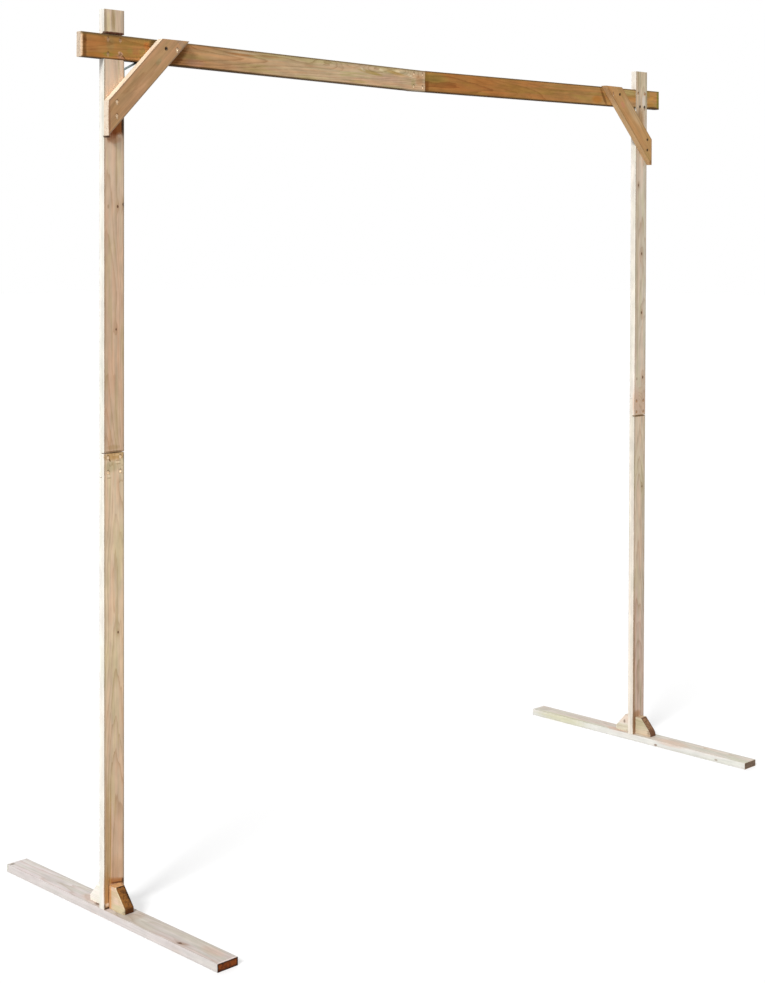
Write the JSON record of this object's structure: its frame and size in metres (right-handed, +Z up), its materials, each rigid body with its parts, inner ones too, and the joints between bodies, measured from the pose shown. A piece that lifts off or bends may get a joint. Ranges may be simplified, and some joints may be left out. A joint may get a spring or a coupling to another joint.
{
  "type": "wedding arch",
  "caption": "Free-standing square arch of pine boards: half-lapped posts and beam with corner braces, on flat feet with gussets, for hanging cloth and flowers.",
  "frame": {"origin": "on the floor, midway between the posts and at the middle of the feet", "axes": "+X along the beam, +Y from front to back, +Z up"},
  "size_m": [2.3006, 0.86, 2.2],
  "materials": {
    "foot_pine": "planed pine, bleached and greyish",
    "post_pine": "planed pine, pale tan with brown grain",
    "beam_pine": "planed pine, warm brown with knots",
    "brace_pine": "planed pine, warm brown",
    "gusset_pine": "sawn pine with brown end grain",
    "zinc_steel": "dull zinc plating"
  },
  "bodies": {
    "root": {"left_foot": "foot_pine", "right_foot": "foot_pine", "left_post_lower": "post_pine", "left_post_upper": "post_pine", "right_post_lower": "post_pine", "right_post_upper": "post_pine", "beam_left": "beam_pine", "beam_right": "beam_pine", "left_brace": "brace_pine", "right_brace": "brace_pine", "left_gusset_front": "gusset_pine", "left_gusset_back": "gusset_pine", "right_gusset_front": "gusset_pine", "right_gusset_back": "gusset_pine", "left_corner_strap": "zinc_steel", "right_corner_strap": "zinc_steel"}
  },
  "joints": []
}
